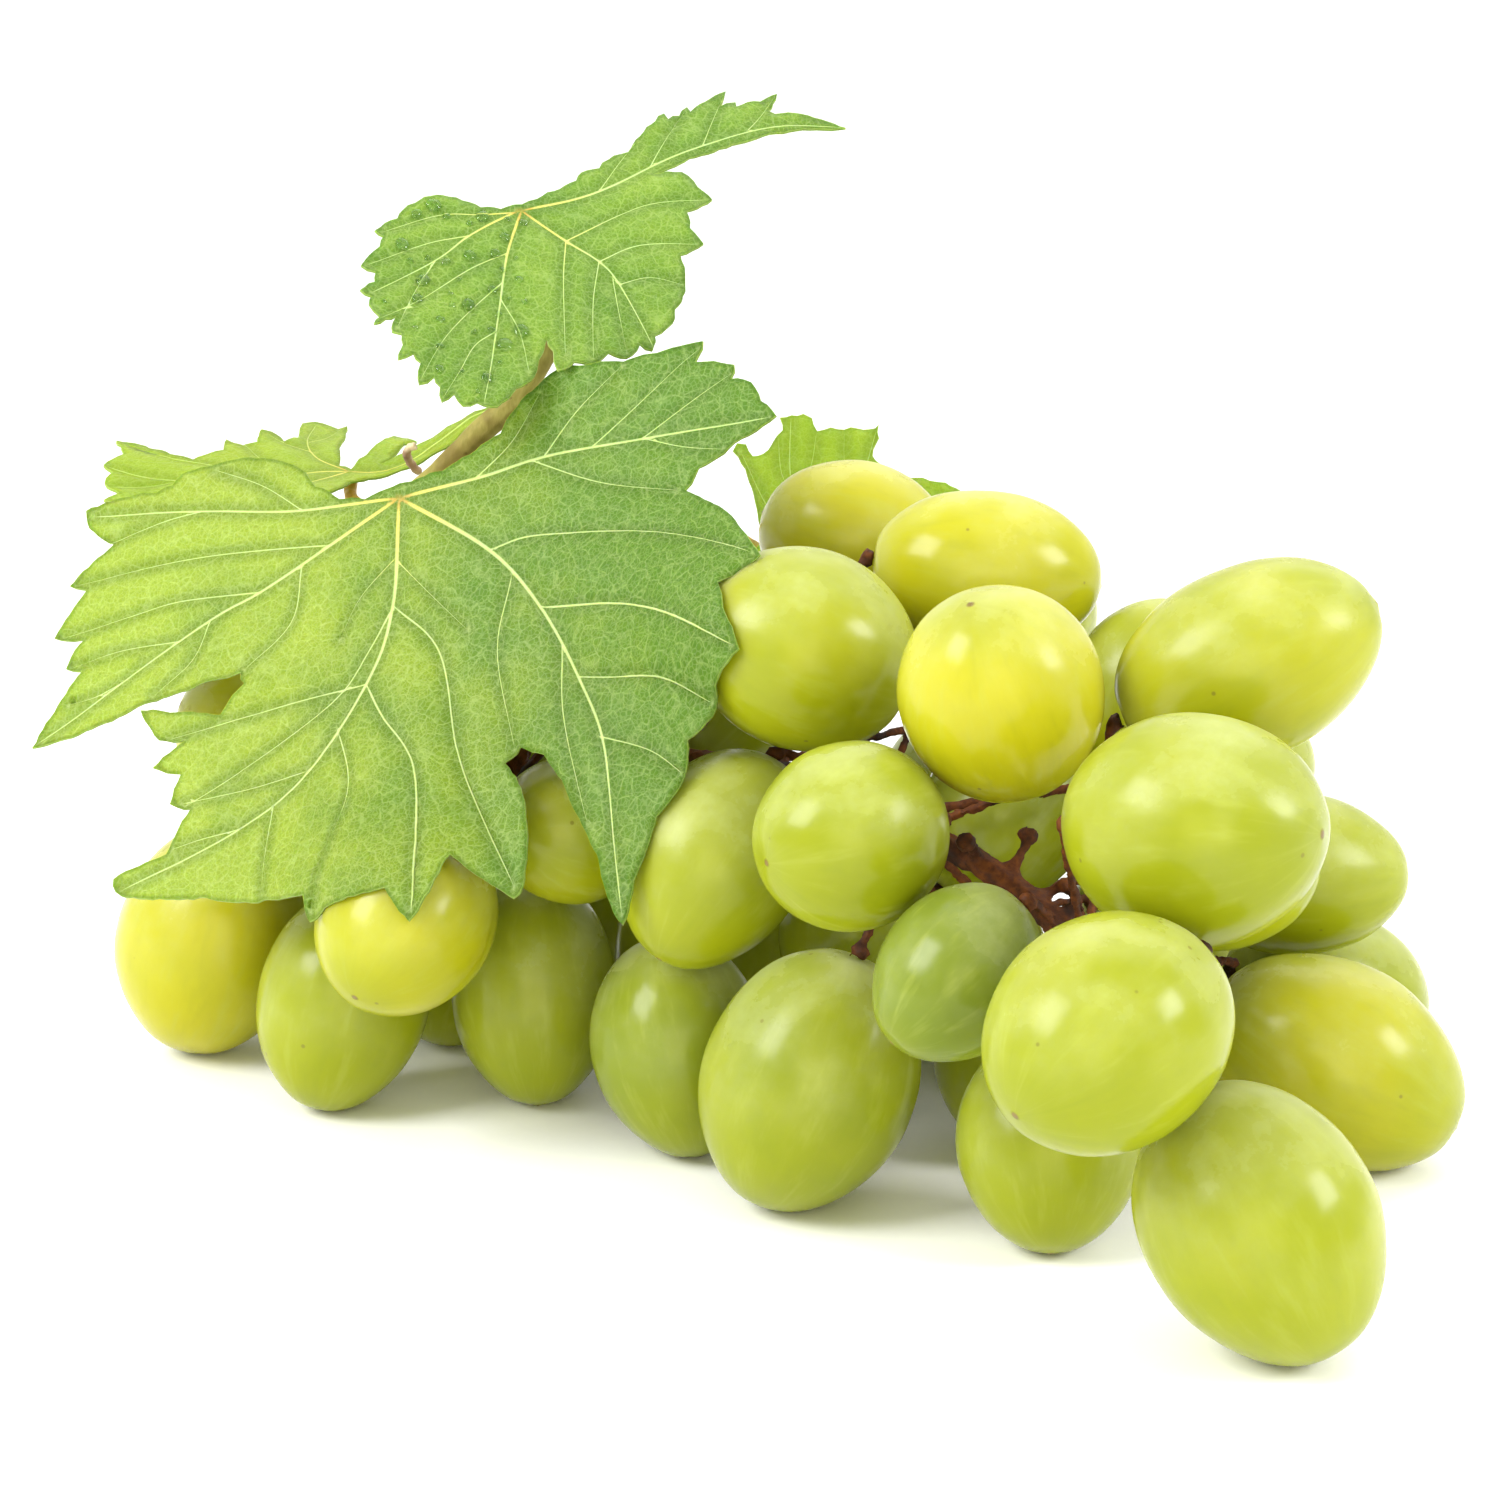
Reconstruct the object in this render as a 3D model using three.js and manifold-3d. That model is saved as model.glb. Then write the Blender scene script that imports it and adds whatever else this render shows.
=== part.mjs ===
// A bunch of green table grapes lying on a flat surface, with its cane and vine leaves.
// Millimetres, +Z up. +X runs along the bunch from its cut cane to the tip; +Y is away from
// the side that carries the big leaf. The origin is the centre of the footprint, on the surface.
import * as THREE from 'three';
import { mergeVertices } from 'three/addons/utils/BufferGeometryUtils.js';
import Module from 'manifold-3d';

// ---------------------------------------------------------------- driving dimensions
const BERRY_GAP = 0.5;        // clear space between neighbouring berries
const BERRY_TAPER = 0.07;     // how much narrower a berry is at its blossom end
const RACHIS_RADIUS = 1.7;    // main stalk of the bunch
const STALK_RADIUS = 0.85;    // the small stalk of one berry
const STALK_GAP = 0.7;        // between a stalk's end and its berry
const STEM_GAP = 0.5;         // least space between the stem and any berry
const CANE_RADIUS = 1.5;
const PETIOLE_RADIUS = 0.8;
const HOLLOW = [31, 53];      // x range where the main stalk carries only empty stubs
const TIP_FROM = 45;          // berries beyond this x hang from the tip side of the hollow
const LEAF_THICKNESS = 0.6;
const LEAF_GAP = 1.3;         // a blade's middle surface over the berries it lies on

// ---------------------------------------------------------------- berries
// One row per berry: [x, y, z of its centre, axis towards the blossom end, length, width].
// z = 0 marks a berry that stands on the surface: its height follows from its size.
const BERRIES = [
  // front row, standing on the surface, from the cane end to the tip
  [-53.5, -29.5, 0, [-0.3, -0.1, -1.0], 28, 21.5],
  [-30, -33, 0, [-0.1, -0.3, -1.0], 25, 18.5],
  [-15.5, -18.5, 0, [0.2, -0.2, -1.0], 25.5, 18],
  [7, -21, 0, [0.3, -0.1, -0.9], 24, 18.5],
  [27, -25.5, 0, [-0.2, -0.3, -0.9], 28, 22],
  [51.5, -18.5, 0, [0.3, -0.4, -0.9], 22.5, 18.5],
  [81.5, -30.5, 0, [0.5, 0.1, -0.8], 28, 22],
  [62.5, 18, 0, [0.8, 0.4, -0.45], 29, 21],
  // second row
  [-52.5, -22.5, 35.5, [-0.5, -0.6, 0.4], 19, 17.5],
  [-15.5, -38.5, 25, [0.1, -0.8, -0.5], 22, 18.5],
  [-8.5, -20, 32, [-0.1, -0.9, 0.2], 18, 16],
  [12.5, -21, 34.5, [-0.1, -0.6, -0.7], 24.5, 18.5],
  [36, -30, 42, [-0.3, -0.9, -0.1], 20, 18.5],
  [49.5, -32, 31, [-0.3, -0.7, -0.6], 19, 15.5],
  [73, -40.5, 31.5, [-0.2, -0.8, -0.4], 25, 21],
  [69.5, -23, 46.5, [0.9, 0.1, 0.1], 26, 22],
  [50.5, 28.5, 26, [0.8, 0.6, 0.0], 24, 17.5],
  // top row
  [16, -13, 52.5, [-0.7, -0.5, 0.4], 24, 21],
  [43.5, -17.5, 54, [0.0, -0.5, 0.9], 23, 20],
  [61.5, -0.5, 57, [0.7, 0.5, 0.42], 28, 19],
  [36.5, 17.5, 48, [0.3, 0.3, 0.9], 20, 16],
  [23.5, 12, 57.5, [0.7, 0.5, -0.1], 25, 17.5],
  [-2, 22.5, 56, [-0.7, -0.5, 0.3], 23, 18.5],
  // inner berries
  [-34, -10, 0, [-0.2, -0.1, -1.0], 24, 19],
  [35, 1, 0, [0.1, -0.2, -1.0], 24, 19],
  [30, 4, 35, [0.3, 0.3, 0.5], 21, 17.5],
  [18.5, -4, 23, [0.0, -0.7, -0.6], 20, 16.5],
  [-33, -20, 35, [-0.2, -0.8, 0.2], 25, 19],
  [-13, -6, 50, [-0.4, -0.7, 0.6], 24, 19],
  [-10, 4, 0, [-0.1, 0.1, -1.0], 25, 20],
  // far side, on the surface
  [-57, -3, 0, [-0.8, 0.0, -0.6], 26, 20.5],
  [-37, 14, 0, [-0.4, 0.5, -0.8], 26, 21],
  [-14, 27, 0, [0.0, 0.6, -0.8], 26, 21],
  [13, 21, 0, [0.1, 0.5, -0.9], 26, 20],
  [38, 24, 0, [0.2, 0.4, -0.9], 25, 19],
  [47, 38, 0, [0.5, 0.8, -0.3], 25, 19],
  [24, 46, 0, [0.1, 0.8, -0.6], 26, 20],
  // far side, above
  [-59, -1, 32, [-0.9, 0.1, 0.2], 25, 19],
  [-40, 8, 37, [-0.5, 0.6, 0.5], 25, 19.5],
  [-20, 20, 38, [-0.3, 0.8, 0.5], 25, 20],
  [2, 38, 26, [-0.1, 0.9, 0.2], 26, 20],
  [8, 36, 45, [0.1, 0.8, 0.6], 25, 18.5],
  [22, 25, 31, [0.2, 0.9, 0.1], 22, 17],
  [30, 41, 31, [0.4, 0.9, 0.2], 25, 19],
  [54, 7, 33, [0.9, 0.3, 0.2], 22, 17],
];

// ---------------------------------------------------------------- stem skeleton
// The main stalk runs from the cane down into the bunch and on through the hollow to its tip.
const RACHIS = [
  [-43, -3, 58.8], [-39, -3.5, 53], [-33, -4, 47], [-25, -5.5, 41], [-14, -7, 37], [0, -7, 38],
  [14, -8, 39], [26, -12, 38], [36, -14.5, 36.8], [41, -13, 36], [44, -12.3, 34.5],
  [47.3, -13.4, 31.8], [51, -14, 29.5], [59, -17, 26], [65, -20, 23],
];
// Empty stalk stubs in the hollow, where berries have dropped: [root, tip].
const STUBS = [
  [[42.6, -12.6, 35.4], [42.8, -9.6, 38.6]],
  [[45.6, -12.6, 33.4], [48.4, -10.6, 34.4]],
  [[47.3, -13.4, 31.8], [50.4, -11.4, 32.6]],
  [[36, -14.5, 36.8], [36.2, -15.5, 40.2]],
  [[39, -13.7, 36.4], [40.2, -17.2, 39]],
];

// ---------------------------------------------------------------- cane and petioles
const CANE = [[-53, -4, 55], [-48, -2.5, 59.5], [-44, -1, 63], [-39.5, 1, 68], [-35.6, 3, 72],
  [-33, 5, 77.5], [-32, 6, 80]];
const TENDRIL = [[-44.6, -3.6, 63.6], [-44.4, -5.2, 64.9], [-43.8, -6.4, 66.2], [-43, -6.9, 67],
  [-42.2, -6.6, 67.3]];

// Each petiole runs from the cane to the back of its blade, which it meets squarely.
const PETIOLES = {
  petiole_front: [[-44, -3.2, 61.8], [-41.5, -6.5, 61.5], [-36.5, -13, 61.5]],
  petiole_left: [[-50.6, -5.2, 58.4], [-52.6, -6, 59.8]],
  petiole_top: [[-31.8, 6.3, 80.7], [-32.5, 5.4, 84], [-34.2, 3, 89]],
  petiole_back: [[-46.4, 0.5, 62], [-44, 6, 61.5], [-38, 19, 59], [-31, 31, 54], [-24, 36, 49.5]],
};

// ---------------------------------------------------------------- leaves
// Each blade is laid out flat around the end of its petiole, corner by corner as
// [direction in degrees, reach], tips and notches in turn, then rolled and laid over the berries.
const LEAVES = {
  leaf_front: {
    junction: [-32.3, -19.8, 64.9], facing: [0.191, -0.832, 0.521],
    colour: 0x86b84a,
    outline: [[140, 4], [152, 14], [160, 20], [167, 27], [172, 36], [180, 34], [184, 37],
      [188, 42], [192, 39], [196, 43], [200, 40], [203, 42], [208, 49], [213, 35], [219, 35],
      [223, 40], [226, 39], [231, 52], [243, 48], [250, 45], [261, 47], [265, 43], [273, 47],
      [279, 44], [287, 48], [291, 44], [294, 34], [297, 44], [299, 56], [304, 50], [308, 50],
      [314, 45], [318, 47], [324, 44], [330, 46], [336, 42], [342, 44],
      [346, 39], [353, 34], [358, 37], [363, 43], [368, 39], [372, 40], [376, 36], [380, 37],
      [386, 30], [393, 24], [397, 16], [404, 8], [440, 3.5]],
    rolls: [],
    wave: { height: 1.0, count: 5, phase: 40 },
  },
  leaf_top: {
    junction: [-31.5, -0.1, 93.5], facing: [0.551, -0.374, 0.746],
    colour: 0x8fc255,
    outline: [[24, 20], [28, 41], [34, 38], [39, 37], [45, 32], [47, 23], [45, 16], [70, 4],
      [130, 3.5], [178, 6], [184, 12], [199, 17], [206, 17], [212, 20], [220, 22], [230, 24],
      [242, 26], [250, 28], [257, 27], [265, 29], [272, 25], [280, 18], [295, 19], [304, 20],
      [313, 22], [324, 21], [337, 20], [356, 20], [374, 21]],
    rolls: [],
    wave: { height: 0.8, count: 4, phase: 0 },
  },
  leaf_left: {
    junction: [-53.8, -4.8, 63.2], facing: [0.209, -0.087, 0.974],
    colour: 0x9aca4c,
    outline: [[12, 19], [20, 16], [50, 6], [80, 8], [98, 13], [110, 11.5], [120, 14.5],
      [131, 12], [142, 15], [155, 13], [167, 18], [173, 20], [179, 27], [187, 23], [197, 25],
      [206, 25], [214, 25], [224, 19], [240, 14], [262, 9], [300, 4], [345, 5], [360, 13]],
    rolls: [{ through: [2, 0], heading: -90, by: 42, over: 7 },
      { through: [-12, -7], heading: 127, by: -40, over: 16 }],
    wave: { height: 1.2, count: 3, phase: 20 },
  },
  leaf_back: {
    junction: [-17, 36, 50], facing: [0.45, -0.62, 0.64],
    colour: 0xa2cc50,
    outline: [[10, 13], [20, 14], [29, 19], [38, 16.5], [46, 15.5], [56, 13], [66, 14], [71, 19],
      [82, 17.5], [91, 17.5], [95, 20], [101, 20], [107, 17.5], [111, 19], [118, 17], [124, 19],
      [136, 12], [160, 8], [190, 11], [205, 8], [255, 3], [320, 4], [350, 9]],
    rolls: [],
    wave: { height: 1.0, count: 4, phase: 60 },
  },
};

// ================================================================ helpers
const V = (p) => new THREE.Vector3(...p);
const UP = new THREE.Vector3(0, 0, 1);
const wasm = await Module();
wasm.setup();

function material(colour, roughness) {
  return new THREE.MeshStandardMaterial({ color: colour, roughness, metalness: 0 });
}

function solidOf(geometry) {
  const bare = geometry.clone();
  bare.deleteAttribute('normal');
  bare.deleteAttribute('uv');
  const merged = mergeVertices(bare, 1e-4);
  return new wasm.Manifold(new wasm.Mesh({
    numProp: 3,
    vertProperties: new Float32Array(merged.attributes.position.array),
    triVerts: new Uint32Array(merged.index.array),
  }));
}

function geometryOf(solid) {
  const mesh = solid.getMesh();
  const geometry = new THREE.BufferGeometry();
  geometry.setAttribute('position', new THREE.BufferAttribute(mesh.vertProperties, 3));
  geometry.setIndex(new THREE.BufferAttribute(mesh.triVerts, 1));
  geometry.computeVertexNormals();
  return geometry;
}

function join(geometries) {
  return geometryOf(geometries.map(solidOf).reduce((all, one) => all.add(one)));
}

// A round bar along a smooth curve through the points.
function bar(points, radius, steps, sides = 6) {
  const section = new THREE.Shape();
  for (let i = 0; i < sides; i += 1) {
    const turn = (i / sides) * Math.PI * 2;
    const [x, y] = [radius * Math.cos(turn), radius * Math.sin(turn)];
    if (i === 0) section.moveTo(x, y); else section.lineTo(x, y);
  }
  section.closePath();
  const curve = new THREE.CatmullRomCurve3(points, false, 'centripetal');
  return new THREE.ExtrudeGeometry(section, { steps, bevelEnabled: false, extrudePath: curve });
}

// ================================================================ berries
// Half of a berry's extent along a direction.
function extent(berry, n) {
  const along = n.dot(berry.axis);
  const a = (berry.length / 2) * along;
  const b2 = (berry.width / 2) ** 2 * (1 - along * along);
  return Math.sqrt(a * a + b2);
}

// The point of a berry's surface that lies farthest along a direction, from its centre.
function farthest(berry, n) {
  const along = n.dot(berry.axis);
  const [a2, b2] = [(berry.length / 2) ** 2, (berry.width / 2) ** 2];
  const sum = n.clone().multiplyScalar(b2);
  sum.addScaledVector(berry.axis, (a2 - b2) * along);
  return sum.divideScalar(extent(berry, n));
}

// The widest clear space between two berries and the direction it is measured in.
function clearance(p, q) {
  const apart = q.centre.clone().sub(p.centre);
  const n = apart.clone().normalize();
  for (let i = 0; i < 12; i += 1) {
    const slope = apart.clone().sub(farthest(p, n)).sub(farthest(q, n));
    slope.addScaledVector(n, -slope.dot(n));
    n.addScaledVector(slope, 0.03).normalize();
  }
  return { n, space: apart.dot(n) - extent(p, n) - extent(q, n) };
}

const berries = BERRIES.map(([x, y, z, axis, length, width]) => {
  const berry = { axis: V(axis).normalize(), length, width, stands: z === 0 };
  berry.centre = new THREE.Vector3(x, y, z === 0 ? extent(berry, UP) : z);
  return berry;
});

// Neighbours push each other apart until none overlap; standing berries stay on the surface.
function settle() {
  for (let round = 0; round < 300; round += 1) {
    let moved = 0;
    for (let i = 0; i < berries.length; i += 1) {
      for (let j = i + 1; j < berries.length; j += 1) {
        const [p, q] = [berries[i], berries[j]];
        const reach = (p.length + q.length) / 2 + BERRY_GAP;
        if (p.centre.distanceTo(q.centre) > reach) continue;
        const { n, space } = clearance(p, q);
        if (space >= BERRY_GAP) continue;
        const push = (BERRY_GAP + 0.02 - space) / 2;
        p.centre.addScaledVector(n, -push);
        q.centre.addScaledVector(n, push);
        moved = Math.max(moved, push);
      }
    }
    for (const berry of berries) {
      const low = extent(berry, UP);
      if (berry.stands) berry.centre.z = low;
      else berry.centre.z = Math.max(berry.centre.z, low + 0.3);
    }
    if (moved < 0.02) break;
  }
}
settle();

// A berry is a smooth ovoid a little narrower at its blossom end, on its own axis.
function berryGeometry(berry) {
  const geometry = new THREE.IcosahedronGeometry(1, 2);
  const place = geometry.attributes.position;
  for (let i = 0; i < place.count; i += 1) {
    const t = place.getZ(i);
    const across = (berry.width / 2) * (1 - BERRY_TAPER * Math.max(t, 0) ** 2);
    place.setXYZ(i, place.getX(i) * across, place.getY(i) * across, (t * berry.length) / 2);
  }
  geometry.applyQuaternion(new THREE.Quaternion().setFromUnitVectors(UP, berry.axis));
  return geometry;
}

// ================================================================ stem
// How far inside a berry, grown by a margin, a point is; and the way out.
function wayOut(point, berry, margin) {
  const from = point.clone().sub(berry.centre);
  const [a, b] = [berry.length / 2 + margin, berry.width / 2 + margin];
  const along = from.dot(berry.axis);
  const across = from.clone().addScaledVector(berry.axis, -along);
  const depth = Math.sqrt((along / a) ** 2 + (across.length() / b) ** 2);
  if (depth >= 1) return null;
  const normal = across.divideScalar(b * b).addScaledVector(berry.axis, along / (a * a));
  return normal.normalize().multiplyScalar((1 - depth) * Math.min(a, b) * 0.5 + 0.02);
}

// Moves the inner points of a path out of every berry while it stays smooth; its ends stay.
function thread(path, radius, ease) {
  const points = path.map((p) => p.clone());
  for (let round = 0; round < 400; round += 1) {
    for (let i = 1; i + 1 < points.length; i += 1) {
      const middle = points[i - 1].clone().add(points[i + 1]).multiplyScalar(0.5);
      points[i].lerp(middle, round < 300 ? ease : 0.01);
      for (let k = 0; k < 3; k += 1) {
        for (const berry of berries) {
          const out = wayOut(points[i], berry, radius + STEM_GAP + 0.5);
          if (out) points[i].add(out);
        }
      }
    }
  }
  return points;
}

const rachisPlan = new THREE.CatmullRomCurve3(RACHIS.map(V), false, 'centripetal');
const rachisPath = thread(rachisPlan.getSpacedPoints(36), RACHIS_RADIUS, 0.01);
const rachisCurve = new THREE.CatmullRomCurve3(rachisPath, false, 'centripetal');
const rachisStations = rachisCurve.getSpacedPoints(60);

// A berry's stalk starts at its stem end and threads between the berries to the main stalk.
function stalkOf(berry) {
  const half = berry.length / 2;
  const start = berry.centre.clone().addScaledVector(berry.axis, -(half + STALK_GAP));
  const neck = berry.centre.clone().addScaledVector(berry.axis, -(half + STALK_GAP + 2.5));
  const tip = berry.centre.x > TIP_FROM;
  const roots = rachisStations.slice(4, 59)
    .filter((p) => (tip ? p.x > HOLLOW[1] : p.x < HOLLOW[0]));
  const near = roots.reduce((best, p) => (
    p.distanceTo(neck) < best.distanceTo(neck) ? p : best));
  const path = [start, neck];
  const parts = Math.max(2, Math.round(neck.distanceTo(near) / 4));
  for (let i = 1; i <= parts; i += 1) path.push(neck.clone().lerp(near, i / parts));
  return thread(path, STALK_RADIUS, 0.25);
}

// ================================================================ leaves
function leafFrame(leaf) {
  const normal = V(leaf.facing).normalize();
  const across = new THREE.Vector3(0.788, 0.616, 0);   // a level line across the blades
  across.addScaledVector(normal, -across.dot(normal)).normalize();
  return { normal, across, rise: normal.clone().cross(across), origin: V(leaf.junction) };
}

// Rolls a flat blade about lines in its plane, the outermost first.
function rolled(leaf, x, y) {
  const p = new THREE.Vector3(x, y, 0);
  const reach = Math.hypot(x, y);
  const turn = Math.atan2(y, x);
  const { height, count, phase } = leaf.wave;
  p.z = height * (reach / 45) ** 2 * Math.sin(count * turn + (phase * Math.PI) / 180);
  for (const { through, heading, by, over } of leaf.rolls) {
    const h = (heading * Math.PI) / 180;
    const side = [-Math.sin(h), Math.cos(h)];
    const s = (p.x - through[0]) * side[0] + (p.y - through[1]) * side[1];
    if (s <= 0) continue;
    const full = (by * Math.PI) / 180;
    const radius = over / full;
    const angle = Math.min(s / over, 1) * full;
    const past = Math.max(s - over, 0);
    const shift = radius * Math.sin(angle) + past * Math.cos(angle) - p.z * Math.sin(angle);
    const height2 = radius * (1 - Math.cos(angle)) + past * Math.sin(angle)
      + p.z * Math.cos(angle);
    p.x += (shift - s) * side[0];
    p.y += (shift - s) * side[1];
    p.z = height2;
  }
  return p;
}

// The height at which a line along a leaf's normal leaves every berry it meets.
function heightOver(point, normal) {
  let best = -Infinity;
  for (const berry of berries) {
    const [a, b] = [berry.length / 2 + LEAF_GAP, berry.width / 2 + LEAF_GAP];
    const from = point.clone().sub(berry.centre);
    const scaled = (v) => {
      const along = v.dot(berry.axis);
      const side = v.clone().addScaledVector(berry.axis, -along).divideScalar(b);
      return side.addScaledVector(berry.axis, along / a);
    };
    const [o, d] = [scaled(from), scaled(normal)];
    const [qa, qb, qc] = [d.dot(d), o.dot(d), o.dot(o) - 1];
    const root = qb * qb - qa * qc;
    if (root > 0) best = Math.max(best, (-qb + Math.sqrt(root)) / qa);
  }
  return best;
}

const RINGS = [0.25, 0.5, 0.76, 1];

function leafGeometry(leaf) {
  const { normal, across, rise, origin } = leafFrame(leaf);
  const world = (p, lift) => origin.clone().addScaledVector(across, p.x)
    .addScaledVector(rise, p.y).addScaledVector(normal, p.z + lift);
  const spokes = leaf.outline.map(([dir, reach]) => {
    const turn = (dir * Math.PI) / 180;
    return RINGS.map((f) => rolled(leaf, f * reach * Math.cos(turn), f * reach * Math.sin(turn)));
  });
  const count = spokes.length;
  // the blade lies on the berries: it is lifted where they stand above it, and evened out
  const need = spokes.map((spoke) => spoke.map((p) => {
    const h = heightOver(world(p, 0), normal);
    return h > 0 && h < 14 ? h : 0;
  }));
  let lift = need.map((row) => [...row]);
  for (let pass = 0; pass < 3; pass += 1) {
    lift = lift.map((row, i) => row.map((h, j) => {
      const around = [lift[(i + 1) % count][j], lift[(i + count - 1) % count][j],
        j > 0 ? row[j - 1] : h * 0.5, j < RINGS.length - 1 ? row[j + 1] : h];
      const mean = around.reduce((s, v) => s + v, 0) / 4;
      return Math.max(need[i][j], mean * 0.96);
    }));
  }
  const middle = spokes.map((spoke, i) => spoke.map((p, j) => world(p, lift[i][j])));
  const centre = world(rolled(leaf, 0, 0), 0);
  const points = [];
  const faces = [];
  const add = (p) => points.push(p) - 1;
  const half = LEAF_THICKNESS / 2;
  const layer = (side) => ({
    hub: add(centre.clone().addScaledVector(normal, side * half)),
    grid: middle.map((spoke, i) => spoke.map((p, j) => {
      const next = middle[(i + 1) % count][j];
      const last = middle[(i + count - 1) % count][j];
      const inner = j > 0 ? middle[i][j - 1] : centre;
      const local = p.clone().sub(inner).cross(next.clone().sub(last)).normalize();
      if (local.dot(normal) < 0.2) local.copy(normal);
      return add(p.clone().addScaledVector(local, side * half));
    })),
  });
  const [top, under] = [layer(1), layer(-1)];
  const quad = (a, b, c, d) => faces.push([a, b, c], [a, c, d]);
  for (let i = 0; i < count; i += 1) {
    const k = (i + 1) % count;
    faces.push([top.hub, top.grid[i][0], top.grid[k][0]]);
    faces.push([under.hub, under.grid[k][0], under.grid[i][0]]);
    for (let j = 0; j + 1 < RINGS.length; j += 1) {
      quad(top.grid[i][j], top.grid[i][j + 1], top.grid[k][j + 1], top.grid[k][j]);
      quad(under.grid[i][j], under.grid[k][j], under.grid[k][j + 1], under.grid[i][j + 1]);
    }
    const last = RINGS.length - 1;
    quad(top.grid[i][last], under.grid[i][last], under.grid[k][last], top.grid[k][last]);
  }
  const geometry = new THREE.BufferGeometry().setFromPoints(points);
  geometry.setIndex(faces.flat());
  geometry.computeVertexNormals();
  return geometry;
}

// ================================================================ assembly
const group = new THREE.Group();
function place(name, geometry, colour, roughness) {
  const mesh = new THREE.Mesh(geometry, material(colour, roughness));
  mesh.name = name;
  group.add(mesh);
  return mesh;
}

berries.forEach((berry, i) => {
  const mesh = place(`berry_${String(i + 1).padStart(2, '0')}`, berryGeometry(berry),
    0xc3d044, 0.35);
  mesh.position.copy(berry.centre);
  if (berry.stands) {
    mesh.geometry.computeBoundingBox();
    mesh.position.z = -mesh.geometry.boundingBox.min.z;
  }
});
for (const [name, leaf] of Object.entries(LEAVES)) {
  place(name, leafGeometry(leaf), leaf.colour, 0.6);
}
const rachis = bar(rachisPath, RACHIS_RADIUS, 30, 7);
const stalks = berries.map(stalkOf).map((path) => bar(path, STALK_RADIUS, path.length - 1, 5));
const stubs = STUBS.map((path) => bar(path.map(V), STALK_RADIUS, 2));
place('stem', join([rachis, ...stalks, ...stubs]), 0x7a3f22, 0.75);
place('cane', bar(CANE.map(V), CANE_RADIUS, 14, 8), 0x8a6a35, 0.7);
place('tendril', bar(TENDRIL.map(V), 0.5, 8, 6), 0xb9a878, 0.7);
for (const [name, route] of Object.entries(PETIOLES)) {
  const leaf = LEAVES[name.replace('petiole', 'leaf')];
  const { normal, origin } = leafFrame(leaf);
  const back = (d) => origin.clone().addScaledVector(normal, -d);
  const path = [...route.map(V), back(2.6), back(LEAF_THICKNESS / 2 + 0.4)];
  place(name, bar(path, PETIOLE_RADIUS, path.length * 2, 6), 0xc98a3a, 0.6);
}

// The whole bunch is moved so that its footprint is centred on the origin.
group.updateMatrixWorld(true);
const box = new THREE.Box3().setFromObject(group);
const middle = box.getCenter(new THREE.Vector3());
group.position.set(-middle.x, -middle.y, -box.min.z);

export default group;
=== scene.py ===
"""A bunch of green table grapes lying on its side, with its stem, cut cane and vine leaves.

Metres, +Z up. Berries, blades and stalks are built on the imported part's own nodes.
"""

import math
import random

import bmesh
import bpy
import numpy as np
from mathutils import Matrix, Vector, bvhtree, geometry, noise


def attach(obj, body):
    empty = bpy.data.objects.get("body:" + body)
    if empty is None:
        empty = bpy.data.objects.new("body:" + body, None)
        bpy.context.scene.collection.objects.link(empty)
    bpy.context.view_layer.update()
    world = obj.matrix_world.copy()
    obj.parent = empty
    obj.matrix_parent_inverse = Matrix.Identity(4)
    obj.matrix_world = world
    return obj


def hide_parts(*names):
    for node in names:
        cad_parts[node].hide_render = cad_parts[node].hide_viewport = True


MM = 0.001
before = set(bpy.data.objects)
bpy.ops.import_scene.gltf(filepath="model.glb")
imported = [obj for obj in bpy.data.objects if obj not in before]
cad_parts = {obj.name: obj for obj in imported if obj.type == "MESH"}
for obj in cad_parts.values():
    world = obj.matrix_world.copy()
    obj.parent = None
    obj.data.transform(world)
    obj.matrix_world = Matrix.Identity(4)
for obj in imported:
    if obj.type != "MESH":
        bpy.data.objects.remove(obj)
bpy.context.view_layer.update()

# ------------------------------------------------------------------ dimensions, millimetres
BERRY_COUNT = 45
BERRY_TAPER = 0.07        # how much narrower a berry is at its blossom end
BLADE_THICKNESS = 0.32
CAD_BLADE_THICKNESS = 0.6
RIB_SHARE = 0.72          # how much of a rib's drawn width stands out
RIB_TAPER = 0.65          # how much narrower a rib is at its end
RIB_STEP = 0.55           # spacing of the points along a rib
RIM_STEP = 0.8            # and of those along the rim
BLADE_CELL = 0.95         # spacing of the points inside a blade
STEM_CELL = 0.32          # voxel of the stem
STEM_SHRINK = 0.28        # how far its skin lies inside the CAD stalks
CANE_CELL = 0.26
ABOVE = 60                # how far over a blade the rays that find its height start
EVENING_ROUNDS = 14       # rounds of evening out a blade's heights
DROP_COUNT = 40           # dew drops on the top leaf
DROP_ROOM = 1.7           # least spacing of the drops
DROP_TO_RIM = 1.1         # least distance of a drop from the rim

# Warmth of single berries: 0 is green, 0.5 the usual yellow-green, 1 golden. Warmer is also brighter,
# and berries 9, 22 and 23 are set warm partly as a painted glow of backlit berries.
WARMTH_AND_PAINTED_GLOW = {1: 0.98, 2: 0.55, 3: 0.35, 4: 0.24, 5: 0.36, 6: 0.42, 7: 0.5, 8: 0.78, 9: 0.98,
          10: 0.82, 11: 0.68, 12: 0.52, 13: 0.5, 14: 0.0, 15: 0.52, 16: 0.52, 17: 0.62,
          18: 0.62, 19: 0.92, 20: 0.66, 21: 0.7, 22: 0.92, 23: 0.95}

# ------------------------------------------------------------------ small helpers


def deselect():
    for thing in bpy.context.selected_objects:
        thing.select_set(False)


def hold(*things):
    """Selects these objects and nothing else; the first is the active one."""
    deselect()
    for thing in things:
        thing.select_set(True)
    bpy.context.view_layer.objects.active = things[0]
    return things[0]


def edit(on=True):
    bpy.ops.object.mode_set(mode="EDIT" if on else "OBJECT")


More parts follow.
